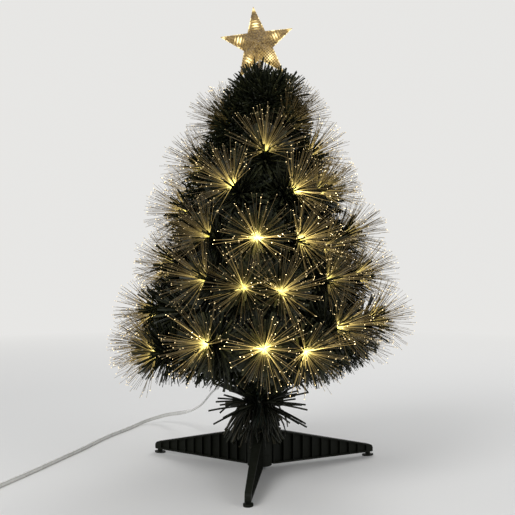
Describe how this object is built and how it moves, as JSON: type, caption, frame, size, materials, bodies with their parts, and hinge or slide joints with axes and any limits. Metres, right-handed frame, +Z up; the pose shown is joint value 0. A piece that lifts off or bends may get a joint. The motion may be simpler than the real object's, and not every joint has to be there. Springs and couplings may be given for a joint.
{
  "type": "fiber optic christmas tree",
  "caption": "Table-top artificial tree on a folding three-legged stand, with whorls of needle branches ending in lit fibre sprays, a clear star on top and a plug-in lead.",
  "frame": {"origin": "on the pole's axis at floor level, under the middle of the stand", "axes": "+Z up along the pole, -Y towards the front leg, +X to the viewer's right"},
  "size_m": [0.7172, 0.5321, 0.6397],
  "materials": {
    "stand_plastic": "satin moulded",
    "needle_film": "satin film",
    "pole_paint": "painted",
    "fibre": "clear, lit warm white",
    "clear_plastic": "clear",
    "lamp_carrier": "milky",
    "lead_jacket": "clear white",
    "adaptor_plastic": "satin",
    "pin_metal": "polished"
  },
  "bodies": {
    "stand": {"stand_hub_leg": "stand_plastic", "stand_collar": "stand_plastic", "front_foot": "stand_plastic"},
    "left_leg": {"left_leg": "stand_plastic", "left_foot": "stand_plastic"},
    "right_leg": {"right_leg": "stand_plastic", "right_foot": "stand_plastic"},
    "tree": {"adaptor_body": "adaptor_plastic", "adaptor_pins": "pin_metal", "branch_tier_1": "needle_film", "branch_tier_2": "needle_film", "branch_tier_3": "needle_film", "branch_tier_4": "needle_film", "branch_tier_5": "needle_film", "branch_tier_6": "needle_film", "cable_grommet": "lead_jacket", "coil_tie": "lead_jacket", "fibre_spray_01": "fibre", "fibre_spray_02": "fibre", "fibre_spray_03": "fibre", "fibre_spray_04": "fibre", "fibre_spray_05": "fibre", "fibre_spray_06": "fibre", "fibre_spray_07": "fibre", "fibre_spray_08": "fibre", "fibre_spray_09": "fibre", "fibre_spray_10": "fibre", "fibre_spray_11": "fibre", "fibre_spray_12": "fibre", "fibre_spray_13": "fibre", "fibre_spray_14": "fibre", "fibre_spray_15": "fibre", "fibre_spray_16": "fibre", "fibre_spray_17": "fibre", "fibre_spray_18": "fibre", "fibre_spray_19": "fibre", "fibre_spray_20": "fibre", "fibre_spray_21": "fibre", "fibre_spray_22": "fibre", "fibre_spray_23": "fibre", "fibre_spray_24": "fibre", "fibre_spray_25": "fibre", "fibre_spray_26": "fibre", "fibre_spray_27": "fibre", "fibre_spray_28": "fibre", "fibre_spray_29": "fibre", "fibre_spray_30": "fibre", "fibre_spray_31": "fibre", "fibre_spray_32": "fibre", "fibre_spray_33": "fibre", "lead": "lead_jacket", "lead_coil": "lead_jacket", "pole": "pole_paint", "top_stem": "needle_film", "trunk_skirt": "needle_film", "wiring_harness": "lead_jacket"},
    "star": {"star_front_shell": "clear_plastic", "star_rear_shell": "clear_plastic", "star_lamp_ring": "lamp_carrier", "star_socket": "clear_plastic"}
  },
  "joints": [
    {"name": "left_leg_fold", "type": "hinge", "parent": "stand", "child": "left_leg", "pos_m": [0, 0, 0.0292], "axis": [0, 0, 1], "range_deg": [0, 75]},
    {"name": "right_leg_fold", "type": "hinge", "parent": "stand", "child": "right_leg", "pos_m": [0, 0, 0.0452], "axis": [0, 0, 1], "range_deg": [-75, 0]},
    {"name": "tree_lift", "type": "slide", "parent": "stand", "child": "tree", "axis": [0, 0, 1], "range_m": [0, 0.05]},
    {"name": "star_lift", "type": "slide", "parent": "tree", "child": "star", "axis": [0, 0, 1], "range_m": [0, 0.04]}
  ]
}
